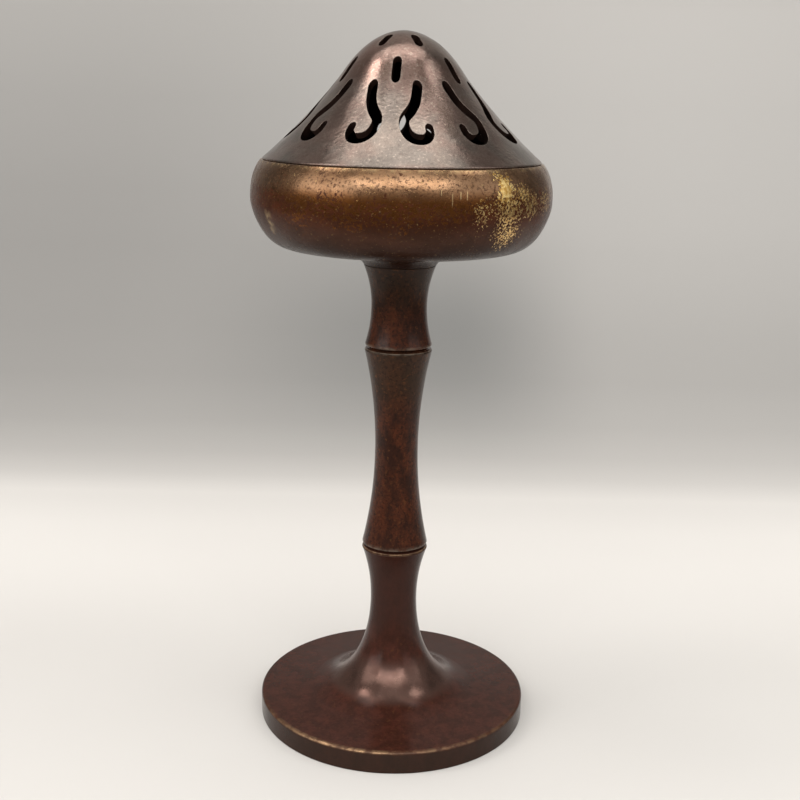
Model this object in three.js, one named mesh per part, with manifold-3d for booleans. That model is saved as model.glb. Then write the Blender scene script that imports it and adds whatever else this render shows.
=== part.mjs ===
// A bronze incense burner: a pierced cover on a shallow bowl, carried by a stem of turned
// internodes on a round foot. A steel rod with a nut under the foot draws bowl, stem and foot
// together, and the cover lifts off. Millimetres, +Z up, origin under the middle of the foot.

import * as THREE from "three";
import Module from "manifold-3d";
import { mergeVertices } from "three/addons/utils/BufferGeometryUtils.js";

// Segments round the wide castings and round the stem
const WIDE_SEGMENTS = 48;
const STEM_SEGMENTS = 36;

// Foot casting: disc, flare and lower internode
const FOOT_RADIUS = 38.8;
const FOOT_RIM_HEIGHT = 6.3;
const FOOT_RIM_ROUND = 0.8;
const FOOT_TOP_RISE = 0.9;
const FOOT_FLARE_RADIUS = 24;
const FOOT_FLARE_PULL_IN = 11.9;
const FOOT_FLARE_LIFT = 2.4;
const FOOT_FLARE_PULL_DOWN = 14.6;
const FOOT_WAIST_RADIUS = 6.7;
const FOOT_WAIST_HEIGHT = 35.3;
const FOOT_HEIGHT = 51;
const FOOT_RING_WIDTH = 4.6;
const FOOT_RECESS_DEPTH = 3;
const NUT_POCKET_RADIUS = 8;
const NUT_POCKET_DEPTH = 10;

// Stem internodes and the dark grooves between them
const NODE_RADIUS = 9.45;
const NECK_RADIUS = 8.4;
const NECK_HEIGHT = 1.2;
const MIDDLE_LENGTH = 57.1;
const MIDDLE_WAIST_RADIUS = 6.08;
const MIDDLE_WAIST_UP = 28.6;
const UPPER_LENGTH = 22.5;
const UPPER_WAIST_RADIUS = 7.7;
const UPPER_WAIST_UP = 11;

// Bowl casting: collar, underside, belly, shoulder and the boss that takes the rod
const BOWL_HEIGHT = 27.8;
const BOWL_RADIUS = 40.55;
const BOWL_EQUATOR_UP = 17.3;
const BOWL_WALL = 2.2;
const BOWL_COLLAR_RADIUS = 10;
const BOWL_COLLAR_FLARE = 5;
const BOWL_COLLAR_HEIGHT = 3.2;
const BOWL_UNDERSIDE_RADIUS = 31.2;
const BOWL_UNDERSIDE_UP = 4.9;
const BELLY_PULL_OUT = 6.5;
const EQUATOR_PULL_DOWN = 2;
const EQUATOR_PULL_UP = 1.85;
const BOWL_SEAM_SLOPE = 51;
const BOWL_SEAM_PULL = 4.9;
const BOWL_MOUTH_INSET = 3.3;
const BOWL_LIP_DEPTH = 5;
const BOSS_RADIUS = 9;
const BOSS_WALL = 2.7;
const BOSS_FILLET = 3;

// Cover casting
const SEAM_RADIUS = 37.8;
const COVER_HEIGHT = 33.5;
const COVER_WALL = 2;
const CROWN_PULL = 4;
const COVER_SHOULDER_RADIUS = 15.4;
const COVER_SHOULDER_UP = 23.6;
const COVER_SHOULDER_SLOPE = 55.3;
const SHOULDER_PULL_UP = 9.4;
const SHOULDER_PULL_DOWN = 8.8;
const COVER_EDGE_SLOPE = 40.2;
const COVER_EDGE_PULL = 10;
const REGISTER_WALL = 1.2;
const REGISTER_DROP = 4.5;
const REGISTER_SEAT = 1.2;

// Fasteners
const ROD_RADIUS = 3;
const ROD_HOLE_DEPTH = 6.5;
const ROD_END_GAP = 0.3;
const ROD_TAIL = 1;
const WASHER_RADIUS = 6;
const WASHER_THICKNESS = 1.2;
const NUT_ACROSS_FLATS = 10;
const NUT_HEIGHT = 5;

// Clearances
const THREAD_CLEARANCE = 0.15;
const ROD_CLEARANCE = 0.4;
const REGISTER_CLEARANCE = 0.3;

// Piercings of the cover: six sectors, each with a crown slot, a rib slot and a pair of scrolls
const SECTORS = 6;
const FIRST_SECTOR_DEGREES = -6.6;
const CROWN_SLOT = { from: 5.8, to: 10.4, width: 2.2 };
const RIB_SLOT = { from: 13.1, to: 18, width: 2.3 };
const SCROLL_WIDTH = 2.5;
const SCROLL_TIP_WIDTH = 2;
const SCROLL_TAPER_FROM = 0.74;

// Middle line of a scroll: distance across from its sector's rib, and radius
const SCROLL_KNOTS = [
  [5.7, 18.7], [5.6, 21.6], [4.8, 23.6], [3.4, 25.7], [3.9, 27.9],
  [5.3, 29.5], [7.2, 30.3], [9.3, 30.2], [10.2, 28.9], [9.8, 27.6],
];
const SCROLL_STEPS = 15;
const CAP_STEPS = 4;

// How far a cutter stands past the wall on each side
const CUTTER_MARGIN = 0.6;

// Least distance between neighbouring points of a profile, and reach within which places are one
const POINT_GAP = 0.2;
const WELD_REACH = 1e-4;

// Heights of the seats, stacked from the floor up
const FOOT_NECK_TOP = FOOT_HEIGHT + NECK_HEIGHT;
const MIDDLE_TOP = FOOT_NECK_TOP + MIDDLE_LENGTH;
const MIDDLE_NECK_TOP = MIDDLE_TOP + NECK_HEIGHT;
const BOWL_BOTTOM = MIDDLE_NECK_TOP + UPPER_LENGTH;
const SEAM = BOWL_BOTTOM + BOWL_HEIGHT;
const ROD_TOP = BOWL_BOTTOM + ROD_HOLE_DEPTH - ROD_END_GAP;
const WASHER_BOTTOM = NUT_POCKET_DEPTH - WASHER_THICKNESS;
const NUT_BOTTOM = WASHER_BOTTOM - NUT_HEIGHT;
const ROD_HOLE_RADIUS = ROD_RADIUS + ROD_CLEARANCE;
const THREAD_HOLE_RADIUS = ROD_RADIUS + THREAD_CLEARANCE;
const BOWL_MOUTH_RADIUS = SEAM_RADIUS - BOWL_MOUTH_INSET;
const REGISTER_RADIUS = BOWL_MOUTH_RADIUS - REGISTER_CLEARANCE;

const wasm = await Module();
wasm.setup();

const point = (radius, height) => new THREE.Vector2(radius, height);
const rad = THREE.MathUtils.degToRad;

// Point at a distance along a slope that falls outwards by some degrees
function downSlope(from, degrees, distance) {
  return point(
    from.x + distance * Math.cos(rad(degrees)),
    from.y - distance * Math.sin(rad(degrees)),
  );
}

// Points of a curve, each moved to the curve's left by an inset
function sampled(curve, steps, inset = 0) {
  return Array.from({ length: steps + 1 }, (_, i) => {
    const tangent = curve.getTangent(i / steps);
    return curve.getPoint(i / steps).add(point(-tangent.y, tangent.x).multiplyScalar(inset));
  });
}

// Arc that stands upright at a waist and passes through a rim, from the waist to the rim
function waistArc(waistRadius, waistHeight, rimRadius, rimHeight, steps) {
  const rise = rimHeight - waistHeight;
  const out = rimRadius - waistRadius;
  const bend = (rise * rise + out * out) / (2 * out);
  const sweep = Math.asin(rise / bend);
  return Array.from({ length: steps + 1 }, (_, i) => {
    const angle = (sweep * i) / steps;
    return point(waistRadius + bend * (1 - Math.cos(angle)), waistHeight + bend * Math.sin(angle));
  });
}

// Vertices merged by place, with the faces that shrink to a line left out
function welded(geometry) {
  const bare = geometry.clone();
  bare.deleteAttribute("normal");
  bare.deleteAttribute("uv");
  const merged = mergeVertices(bare, WELD_REACH);
  const index = merged.getIndex().array;
  const kept = [];
  for (let i = 0; i < index.length; i += 3) {
    const [a, b, c] = [index[i], index[i + 1], index[i + 2]];
    if (a !== b && b !== c && c !== a) kept.push(a, b, c);
  }
  merged.setIndex(kept);
  return merged;
}

// Solid of revolution about +Z from a profile of radius and height
function turned(profile, segments) {
  const lathe = new THREE.LatheGeometry(profile, segments);
  lathe.rotateX(Math.PI / 2);
  return welded(lathe);
}

function toSolid(geometry) {
  const mesh = new wasm.Mesh({
    numProp: 3,
    vertProperties: new Float32Array(geometry.getAttribute("position").array),
    triVerts: new Uint32Array(geometry.getIndex().array),
  });
  return new wasm.Manifold(mesh);
}

function toGeometry(solid) {
  const mesh = solid.getMesh();
  const geometry = new THREE.BufferGeometry();
  geometry.setAttribute("position", new THREE.BufferAttribute(mesh.vertProperties, 3));
  geometry.setIndex(new THREE.BufferAttribute(mesh.triVerts, 1));
  return geometry;
}

function named(name, geometry, material) {
  const shaded = geometry.index ? geometry.toNonIndexed() : geometry;
  shaded.computeVertexNormals();
  const mesh = new THREE.Mesh(shaded, material);
  mesh.name = name;
  return mesh;
}

// Materials
const coverBronze = new THREE.MeshStandardMaterial({ color: 0x4a4038, roughness: 0.42, metalness: 1 });
const bowlBronze = new THREE.MeshStandardMaterial({ color: 0x6b4a2e, roughness: 0.4, metalness: 1 });
const stemBronze = new THREE.MeshStandardMaterial({ color: 0x4b2f24, roughness: 0.38, metalness: 1 });
const footBronze = new THREE.MeshStandardMaterial({ color: 0x4a2a20, roughness: 0.3, metalness: 1 });
const steel = new THREE.MeshStandardMaterial({ color: 0x8d8f92, roughness: 0.45, metalness: 1 });

// Outer line of the cover, as two curves from the apex to the seam
function coverCurves() {
  const apex = point(0, SEAM + COVER_HEIGHT);
  const shoulder = point(COVER_SHOULDER_RADIUS, SEAM + COVER_SHOULDER_UP);
  const edge = point(SEAM_RADIUS, SEAM);
  const dome = new THREE.CubicBezierCurve(
    apex,
    point(CROWN_PULL, apex.y),
    downSlope(shoulder, COVER_SHOULDER_SLOPE, -SHOULDER_PULL_UP),
    shoulder,
  );
  const flank = new THREE.CubicBezierCurve(
    shoulder,
    downSlope(shoulder, COVER_SHOULDER_SLOPE, SHOULDER_PULL_DOWN),
    downSlope(edge, COVER_EDGE_SLOPE, -COVER_EDGE_PULL),
    edge,
  );
  return { dome, flank };
}

const { dome, flank } = coverCurves();

// Place on the cover's outer surface at a radius, with its outward direction
function coverSurface(radius) {
  const curve = radius < COVER_SHOULDER_RADIUS ? dome : flank;
  let low = 0;
  let high = 1;
  for (let i = 0; i < 40; i += 1) {
    const middle = (low + high) / 2;
    if (curve.getPoint(middle).x < radius) low = middle;
    else high = middle;
  }
  const tangent = curve.getTangent(low);
  return { height: curve.getPoint(low).y, normal: point(-tangent.y, tangent.x) };
}

// Plan outline of a round-ended stroke along a line of points, with a width at each share of its length
function strokeShape(points, widthAt) {
  const last = points.length - 1;
  const side = (i, sign) => {
    const ahead = points[Math.min(i + 1, last)].clone().sub(points[Math.max(i - 1, 0)]).normalize();
    const half = widthAt(i / last) / 2;
    return points[i].clone().add(point(-ahead.y, ahead.x).multiplyScalar(sign * half));
  };
  const cap = (end, from) => {
    const arm = from.clone().sub(end);
    return Array.from({ length: CAP_STEPS - 1 }, (_, i) => {
      const angle = arm.angle() - (Math.PI * (i + 1)) / CAP_STEPS;
      return point(end.x + arm.length() * Math.cos(angle), end.y + arm.length() * Math.sin(angle));
    });
  };
  const left = points.map((_, i) => side(i, 1));
  const right = points.map((_, i) => side(i, -1)).reverse();
  return new THREE.Shape([...left, ...cap(points[last], left[last]), ...right, ...cap(points[0], right[last])]);
}

// Cutter that follows a plan outline through the cover's wall, square to its surface
function wallCutter(shape) {
  const geometry = new THREE.ExtrudeGeometry(shape, { depth: 1, steps: 1, bevelEnabled: false });
  const position = geometry.getAttribute("position");
  for (let i = 0; i < position.count; i += 1) {
    const radius = Math.hypot(position.getX(i), position.getY(i));
    const { height, normal } = coverSurface(radius);
    const lift = position.getZ(i) > 0.5 ? CUTTER_MARGIN : -(COVER_WALL + CUTTER_MARGIN);
    const scale = (radius + normal.x * lift) / radius;
    position.setXYZ(i, position.getX(i) * scale, position.getY(i) * scale, height + normal.y * lift);
  }
  return toSolid(welded(geometry));
}

// Plan point at a radius and an angle from the front, positive towards +X
const planPoint = (radius, angle) => point(radius * Math.sin(angle), -radius * Math.cos(angle));

function slotCutter(slot, angle) {
  const points = [slot.from + slot.width / 2, slot.to - slot.width / 2].map((r) => planPoint(r, angle));
  return wallCutter(strokeShape(points, () => slot.width));
}

function scrollCutter(angle, hand) {
  const knots = SCROLL_KNOTS.map(([across, radius]) => planPoint(radius, angle + (hand * across) / radius));
  const line = new THREE.SplineCurve(knots).getSpacedPoints(SCROLL_STEPS);
  const widthAt = (share) => {
    const taper = Math.max(0, (share - SCROLL_TAPER_FROM) / (1 - SCROLL_TAPER_FROM));
    return THREE.MathUtils.lerp(SCROLL_WIDTH, SCROLL_TIP_WIDTH, taper);
  };
  return wallCutter(strokeShape(line, widthAt));
}

function cover() {
  const inner = [
    ...sampled(dome, 5, -COVER_WALL),
    ...sampled(flank, 5, -COVER_WALL).slice(1),
  ];
  inner[0].x = 0;
  const seatTop = SEAM + REGISTER_SEAT;
  const profile = [
    ...inner.filter((p) => p.x < REGISTER_RADIUS - REGISTER_WALL && p.y > seatTop + POINT_GAP),
    point(REGISTER_RADIUS - REGISTER_WALL, seatTop),
    point(REGISTER_RADIUS, seatTop),
    point(REGISTER_RADIUS, SEAM),
    ...sampled(flank, 7).reverse(),
    ...sampled(dome, 6).reverse().slice(1),
  ];
  let solid = toSolid(turned(profile, WIDE_SEGMENTS));
  for (let i = 0; i < SECTORS; i += 1) {
    const angle = rad(FIRST_SECTOR_DEGREES + (360 * i) / SECTORS);
    const cutters = [
      slotCutter(CROWN_SLOT, angle + Math.PI / SECTORS),
      slotCutter(RIB_SLOT, angle),
      scrollCutter(angle, 1),
      scrollCutter(angle, -1),
    ];
    for (const cutter of cutters) solid = solid.subtract(cutter);
  }
  return named("cover", toGeometry(solid), coverBronze);
}

// Turned ring soldered inside the cover's edge, which drops into the bowl's mouth
function registerRing() {
  const inside = REGISTER_RADIUS - REGISTER_WALL;
  const top = SEAM + REGISTER_SEAT;
  const bottom = SEAM - REGISTER_DROP;
  const profile = [
    point(inside, bottom),
    point(REGISTER_RADIUS, bottom),
    point(REGISTER_RADIUS, top),
    point(inside, top),
    point(inside, bottom),
  ];
  return named("cover_register_ring", turned(profile, WIDE_SEGMENTS), coverBronze);
}

// Outer line of the bowl from its collar up to the seam, as curves that meet
function bowlCurves() {
  const foot = point(BOWL_COLLAR_RADIUS, BOWL_BOTTOM);
  const collarEnd = point(foot.x + BOWL_COLLAR_FLARE, foot.y + BOWL_COLLAR_HEIGHT);
  const underside = point(BOWL_UNDERSIDE_RADIUS, BOWL_BOTTOM + BOWL_UNDERSIDE_UP);
  const equator = point(BOWL_RADIUS, BOWL_BOTTOM + BOWL_EQUATOR_UP);
  const edge = point(SEAM_RADIUS, SEAM);
  const rise = (underside.y - collarEnd.y) / (underside.x - collarEnd.x);
  const collar = new THREE.CubicBezierCurve(
    foot,
    point(foot.x + BOWL_COLLAR_FLARE / 8, foot.y + BOWL_COLLAR_HEIGHT / 3),
    point(collarEnd.x - BOWL_COLLAR_FLARE / 2, collarEnd.y - (rise * BOWL_COLLAR_FLARE) / 2),
    collarEnd,
  );
  const belly = new THREE.CubicBezierCurve(
    underside,
    point(underside.x + BELLY_PULL_OUT, underside.y + rise * BELLY_PULL_OUT),
    point(equator.x, equator.y - EQUATOR_PULL_DOWN),
    equator,
  );
  const shoulder = new THREE.CubicBezierCurve(
    equator,
    point(equator.x, equator.y + EQUATOR_PULL_UP),
    downSlope(edge, BOWL_SEAM_SLOPE, BOWL_SEAM_PULL),
    edge,
  );
  return { collar, belly, shoulder };
}

function bowl() {
  const { collar, belly, shoulder } = bowlCurves();
  const lipBottom = SEAM - BOWL_LIP_DEPTH;
  const holeTop = BOWL_BOTTOM + ROD_HOLE_DEPTH;
  const bossTop = holeTop + BOSS_WALL;
  const bossFoot = point(BOSS_RADIUS + BOSS_FILLET, collar.v3.y + BOWL_WALL);
  const innerBelly = sampled(belly, 6, BOWL_WALL).reverse();
  const innerShoulder = sampled(shoulder, 6, BOWL_WALL).filter((p) => p.y < lipBottom - POINT_GAP).reverse();
  const profile = [
    point(0, holeTop),
    point(THREAD_HOLE_RADIUS, holeTop),
    point(THREAD_HOLE_RADIUS, BOWL_BOTTOM),
    ...sampled(collar, 5),
    ...sampled(belly, 10),
    ...sampled(shoulder, 6).slice(1),
    point(BOWL_MOUTH_RADIUS, SEAM),
    point(BOWL_MOUTH_RADIUS, lipBottom),
    ...innerShoulder,
    ...innerBelly.slice(innerShoulder.length ? 1 : 0),
    bossFoot,
    point(BOSS_RADIUS, bossTop),
    point(0, bossTop),
  ];
  return named("bowl", turned(profile, WIDE_SEGMENTS), bowlBronze);
}

function upperInternode() {
  const waist = MIDDLE_NECK_TOP + UPPER_WAIST_UP;
  const profile = [
    point(ROD_HOLE_RADIUS, MIDDLE_NECK_TOP),
    ...waistArc(UPPER_WAIST_RADIUS, waist, NODE_RADIUS, MIDDLE_NECK_TOP, 6).reverse(),
    ...waistArc(UPPER_WAIST_RADIUS, waist, BOWL_COLLAR_RADIUS, BOWL_BOTTOM, 6).slice(1),
    point(ROD_HOLE_RADIUS, BOWL_BOTTOM),
    point(ROD_HOLE_RADIUS, MIDDLE_NECK_TOP),
  ];
  return named("upper_internode", turned(profile, STEM_SEGMENTS), stemBronze);
}

function middleInternode() {
  const waist = FOOT_NECK_TOP + MIDDLE_WAIST_UP;
  const profile = [
    point(ROD_HOLE_RADIUS, FOOT_NECK_TOP),
    ...waistArc(MIDDLE_WAIST_RADIUS, waist, NODE_RADIUS, FOOT_NECK_TOP, 7).reverse(),
    ...waistArc(MIDDLE_WAIST_RADIUS, waist, NODE_RADIUS, MIDDLE_TOP, 7).slice(1),
    point(NECK_RADIUS, MIDDLE_TOP),
    point(NECK_RADIUS, MIDDLE_NECK_TOP),
    point(ROD_HOLE_RADIUS, MIDDLE_NECK_TOP),
    point(ROD_HOLE_RADIUS, FOOT_NECK_TOP),
  ];
  return named("middle_internode", turned(profile, STEM_SEGMENTS), stemBronze);
}

function foot() {
  const recess = FOOT_RADIUS - FOOT_RING_WIDTH;
  const waist = point(FOOT_WAIST_RADIUS, FOOT_WAIST_HEIGHT);
  const toe = point(FOOT_FLARE_RADIUS, FOOT_RIM_HEIGHT + FOOT_TOP_RISE);
  const flare = new THREE.CubicBezierCurve(
    toe,
    point(toe.x - FOOT_FLARE_PULL_IN, toe.y + FOOT_FLARE_LIFT),
    point(waist.x, waist.y - FOOT_FLARE_PULL_DOWN),
    waist,
  );
  const profile = [
    point(ROD_HOLE_RADIUS, NUT_POCKET_DEPTH),
    point(NUT_POCKET_RADIUS, NUT_POCKET_DEPTH),
    point(NUT_POCKET_RADIUS, FOOT_RECESS_DEPTH),
    point(recess, FOOT_RECESS_DEPTH),
    point(recess, 0),
    point(FOOT_RADIUS, 0),
    point(FOOT_RADIUS, FOOT_RIM_HEIGHT - FOOT_RIM_ROUND),
    point(FOOT_RADIUS - FOOT_RIM_ROUND, FOOT_RIM_HEIGHT),
    ...sampled(flare, 12),
    ...waistArc(FOOT_WAIST_RADIUS, FOOT_WAIST_HEIGHT, NODE_RADIUS, FOOT_HEIGHT, 6).slice(1),
    point(NECK_RADIUS, FOOT_HEIGHT),
    point(NECK_RADIUS, FOOT_NECK_TOP),
    point(ROD_HOLE_RADIUS, FOOT_NECK_TOP),
    point(ROD_HOLE_RADIUS, NUT_POCKET_DEPTH),
  ];
  return named("foot", turned(profile, WIDE_SEGMENTS), footBronze);
}

// Threaded rod through the stem, screwed into the bowl's boss
function tieRod() {
  const bottom = NUT_BOTTOM - ROD_TAIL;
  const profile = [point(0, bottom), point(ROD_RADIUS, bottom), point(ROD_RADIUS, ROD_TOP), point(0, ROD_TOP)];
  return named("tie_rod", turned(profile, STEM_SEGMENTS), steel);
}

function washer() {
  const profile = [
    point(ROD_HOLE_RADIUS, WASHER_BOTTOM),
    point(WASHER_RADIUS, WASHER_BOTTOM),
    point(WASHER_RADIUS, NUT_POCKET_DEPTH),
    point(ROD_HOLE_RADIUS, NUT_POCKET_DEPTH),
    point(ROD_HOLE_RADIUS, WASHER_BOTTOM),
  ];
  return named("foot_washer", turned(profile, STEM_SEGMENTS), steel);
}

function nut() {
  const corner = NUT_ACROSS_FLATS / 2 / Math.cos(Math.PI / 6);
  const ring = (radius, count) =>
    Array.from({ length: count }, (_, i) => planPoint(radius, (2 * Math.PI * i) / count));
  const hexagon = new THREE.Shape(ring(corner, 6));
  hexagon.holes.push(new THREE.Path(ring(THREAD_HOLE_RADIUS, STEM_SEGMENTS)));
  const geometry = new THREE.ExtrudeGeometry(hexagon, { depth: NUT_HEIGHT, steps: 1, bevelEnabled: false });
  geometry.translate(0, 0, NUT_BOTTOM);
  return named("foot_nut", welded(geometry), steel);
}

const burner = new THREE.Group();
burner.add(
  cover(),
  registerRing(),
  bowl(),
  upperInternode(),
  middleInternode(),
  foot(),
  tieRod(),
  washer(),
  nut(),
);

export default burner;
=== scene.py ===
from bisect import bisect_left
from math import asin, atan2, cos, degrees, exp, pi, radians, sin, tan

import bpy
from mathutils import Matrix, Vector
from mathutils.geometry import delaunay_2d_cdt


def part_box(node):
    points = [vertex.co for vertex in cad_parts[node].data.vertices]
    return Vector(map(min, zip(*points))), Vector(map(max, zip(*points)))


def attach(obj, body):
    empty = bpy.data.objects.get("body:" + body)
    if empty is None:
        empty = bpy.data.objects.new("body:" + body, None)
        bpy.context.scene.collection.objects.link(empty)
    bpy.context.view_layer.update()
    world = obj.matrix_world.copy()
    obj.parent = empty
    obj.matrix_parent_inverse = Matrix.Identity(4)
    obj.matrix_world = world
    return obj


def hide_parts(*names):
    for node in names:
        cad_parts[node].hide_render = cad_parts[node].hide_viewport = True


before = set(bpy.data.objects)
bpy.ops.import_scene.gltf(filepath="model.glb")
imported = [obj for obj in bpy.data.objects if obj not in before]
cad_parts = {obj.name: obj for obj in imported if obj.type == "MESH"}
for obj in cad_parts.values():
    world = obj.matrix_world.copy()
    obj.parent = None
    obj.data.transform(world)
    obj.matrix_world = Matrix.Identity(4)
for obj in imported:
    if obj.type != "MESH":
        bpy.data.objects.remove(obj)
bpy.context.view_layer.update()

# Lengths in this script are millimetres until a mesh or lamp is made
MM = 0.001

# Steps round the axis
ROUND_STEPS = 192
STEM_STEPS = 128
FASTENER_STEPS = 96
ROD_STEPS = 48

# Steps along the curves and fillets
DOME_STEPS = 60
FLANK_STEPS = 100
SCROLL_STEPS = 34
SLOT_STEPS = 6
CAP_STEPS = 8
COLLAR_STEPS = 14
BELLY_STEPS = 30
BOWL_SHOULDER_STEPS = 20
WAIST_STEPS = 40
FOOT_WAIST_STEPS = 30
FLARE_STEPS = 60
FILLET_STEPS = 5
SLOT_FILLET_STEPS = 4
SMOOTHING_STEPS = 12

# A fillet's support points lie past its ends by this share of its radius
SUPPORT_SHARE = 0.7

# Least gap between a curve's last free point and the fillet after it
POINT_GAP = 0.1

# Camera of the photograph: place, downward pitch, roll and focal length in pixels of an 800 frame
CAMERA_PLACE = Vector((0.74, -325.04, 178.7))
CAMERA_PITCH = 14.521
CAMERA_ROLL = 1.164
FOCAL_PIXELS = 1190
FRAME_PIXELS = 800
SENSOR = 36
CLIP_START = 0.01

# Cover's outer line and wall
COVER_WALL = 2.0
CROWN_PULL = 4.0
SHOULDER_RADIUS = 15.4
SHOULDER_UP = 23.6
SHOULDER_SLOPE = 55.3
SHOULDER_PULL_UP = 9.4
SHOULDER_PULL_DOWN = 8.8
EDGE_SLOPE = 40.2
EDGE_PULL = 10.0
SEAM_ROUND = 0.35

# Piercings: six sectors, each with a crown slot, a rib slot and a pair of scrolls
SECTORS = 6
FIRST_SECTOR = radians(-6.6)
CROWN_SLOT = (5.8, 10.4, 2.2)
RIB_SLOT = (13.1, 18.0, 2.3)
SCROLL_KNOTS = (
    (5.7, 18.7), (5.6, 21.6), (4.8, 23.6), (3.4, 25.7), (3.9, 27.9),
    (5.3, 29.5), (7.2, 30.3), (9.3, 30.2), (10.2, 28.9), (9.8, 27.6),
)
SCROLL_WIDTH = 2.5
SCROLL_TIP_WIDTH = 2.0
SCROLL_TAPER_FROM = 0.74
SLOT_ROUND = 0.1
# Wear on the slots' edges, partly a painted highlight along them
SLOT_EDGE_WEAR_AND_HIGHLIGHT = 0.3

# Mesh of the pierced shell: spacing of its points, gap round the slots, distance that it stays short of
# the register ring, and the least distance that counts
PLAN_SPACING = 0.85
PLAN_GAP = 0.35
PLAN_SHORT = 0.4
PLAN_LEAST = 1e-5

# Register ring inside the cover's edge
REGISTER_WALL = 1.2
REGISTER_ROUND = 0.3

# Bowl
BOWL_WALL = 2.2
BOWL_RADIUS = 40.55
BOWL_EQUATOR_UP = 17.3
COLLAR_RADIUS = 10.0
COLLAR_FLARE = 5.0
COLLAR_HEIGHT = 3.2
UNDERSIDE_RADIUS = 31.2
UNDERSIDE_UP = 4.9
BELLY_PULL_OUT = 6.5
EQUATOR_PULL_DOWN = 2.0
EQUATOR_PULL_UP = 1.85
BOWL_SEAM_SLOPE = 51.0
BOWL_SEAM_PULL = 4.9
MOUTH_INSET = 3.3
LIP_DEPTH = 5.0
LIP_ROUND = 0.3
LIP_LEDGE = 1.5
LIP_FALL = 0.4
LIP_TO_WALL = 1.0
BOSS_RADIUS = 9.0
BOSS_WALL = 2.7
BOSS_FILLET = 3.0
BOSS_FOOT_ROUND = 1.5
BOSS_EDGE_ROUND = 0.8
ROD_HOLE_DEPTH = 6.5
COLLAR_CHAMFER = 0.12

# Worn edges: strength, height of the band's middle over the edge, and its half height. The band over a stem
# piece's lower rim is a painted highlight, and the stem's upper rims and ledges are worn and carry a painted
# highlight
SEAM_WEAR = (0.6, -0.3, 0.45)
LOW_RIM_HIGHLIGHT = (0.35, 0.45, 0.5)
HIGH_RIM_WEAR_AND_HIGHLIGHT = (0.4, 0, 0.1)
DISC_WEAR = (1, -0.22, 0.4)
LEDGE_WEAR_AND_HIGHLIGHT = 0.6
FOOT_NODE_WEAR_AND_HIGHLIGHT = 0.55

# Stem, with the neck and ledge in each dark groove
NODE_RADIUS = 9.45
NECK_RADIUS = 8.4
NECK_HEIGHT = 1.2
NECK_MARGIN = 0.3
LEDGE_RADIUS = 9.28
LEDGE_REACH = 0.3
LEDGE_GROOVE = 0.14
LEDGE_HEIGHT = 0.32
LEDGE_SLOPE = 0.2
LEDGE_BEVEL = 0.03
LEDGE_TOP_BEVEL = 0.05
LEDGE_TOP_RISE = 0.02
LOW_RIM_ROUND = 0.4
HIGH_RIM_ROUND = 0.12
UPPER_WAIST = (7.7, 11.0)
MIDDLE_WAIST = (6.08, 28.6)
LOWER_WAIST = (6.7, 35.3)
ROD_HOLE = 3.4
THREAD_HOLE = 3.15

# Foot
RIM_HEIGHT = 6.3
RIM_ROUND = 0.8
DISC_RISE = 0.9
FLARE_RADIUS = 24.0
FLARE_PULL_IN = 11.9
FLARE_LIFT = 2.4
FLARE_PULL_DOWN = 14.6
FOOT_RING_WIDTH = 4.6
RECESS_DEPTH = 3.0
POCKET_RADIUS = 8.0
POCKET_DEPTH = 10.0

# Wear along the disc's upper edge, in degrees round: its middle and half width, its brightest place and
# the width of that, its share elsewhere, and how far in it reaches
DISC_WEAR_SPREAD = (-4, 78)
DISC_WEAR_PEAK = (-28, 26)
DISC_WEAR_LEAST = 0.4
DISC_WEAR_INSET = 1.3

# Fasteners
THREAD_PITCH = 1.0
THREAD_DEPTH = 0.5
THREAD_LENGTH = 14.0
THREAD_FLAT = 0.2
THREAD_RINGS = 8
WASHER_ROUND = 0.15
NUT_ACROSS_FLATS = 10.0
NUT_CHAMFER = 0.3
NUT_FACE_INSET = 0.5
NUT_CORNER_SLOPE = 30
NUT_SHARP_ANGLE = 25


def radius_and_span(node):
    """A node's outer radius and its lowest and highest level, in millimetres."""
    low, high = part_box(node)
    return high.x / MM, low.z / MM, high.z / MM


SEAM_RADIUS, SEAM, COVER_TOP = radius_and_span("cover")
_, BOWL_BOTTOM, _ = radius_and_span("bowl")
_, UPPER_BOTTOM, _ = radius_and_span("upper_internode")
_, MIDDLE_BOTTOM, _ = radius_and_span("middle_internode")
FOOT_RADIUS, _, _ = radius_and_span("foot")
REGISTER_RADIUS, REGISTER_BOTTOM, REGISTER_TOP = radius_and_span("cover_register_ring")


# Curves and profiles, as lists of (radius, height)

def bezier(steps, *points):
    """Points and tangents of a cubic curve."""
    a, b, c, d = (Vector(p) for p in points)
    made = []
    for i in range(steps + 1):
        t = i / steps
        s = 1 - t
        place = a * s**3 + b * 3 * s * s * t + c * 3 * s * t * t + d * t**3
        along = (b - a) * s * s + (c - b) * 2 * s * t + (d - c) * t * t
        made.append((place, along.normalized()))
    return made


def places(curve, inset=0.0):
    """Places of a curve, each moved to the curve's left by an inset."""
    return [p + Vector((-t.y, t.x)) * inset for p, t in curve]


def down_slope(start, slope, distance):
    """Point at a distance from a start, along a slope in degrees that falls outwards."""
    angle = radians(slope)
    return Vector((start[0] + distance * cos(angle), start[1] - distance * sin(angle)))


def waist_arc(waist, rim, steps):
    """Arc that stands upright at a waist and runs to a rim."""
    rise = rim[1] - waist[1]
    out = rim[0] - waist[0]
    bend = (rise * rise + out * out) / (2 * out)
    sweep = asin(rise / bend)
    angles = [sweep * i / steps for i in range(steps + 1)]
    return [
        Vector((waist[0] + bend * (1 - cos(a)), waist[1] + bend * sin(a))) for a in angles
    ]


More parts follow.
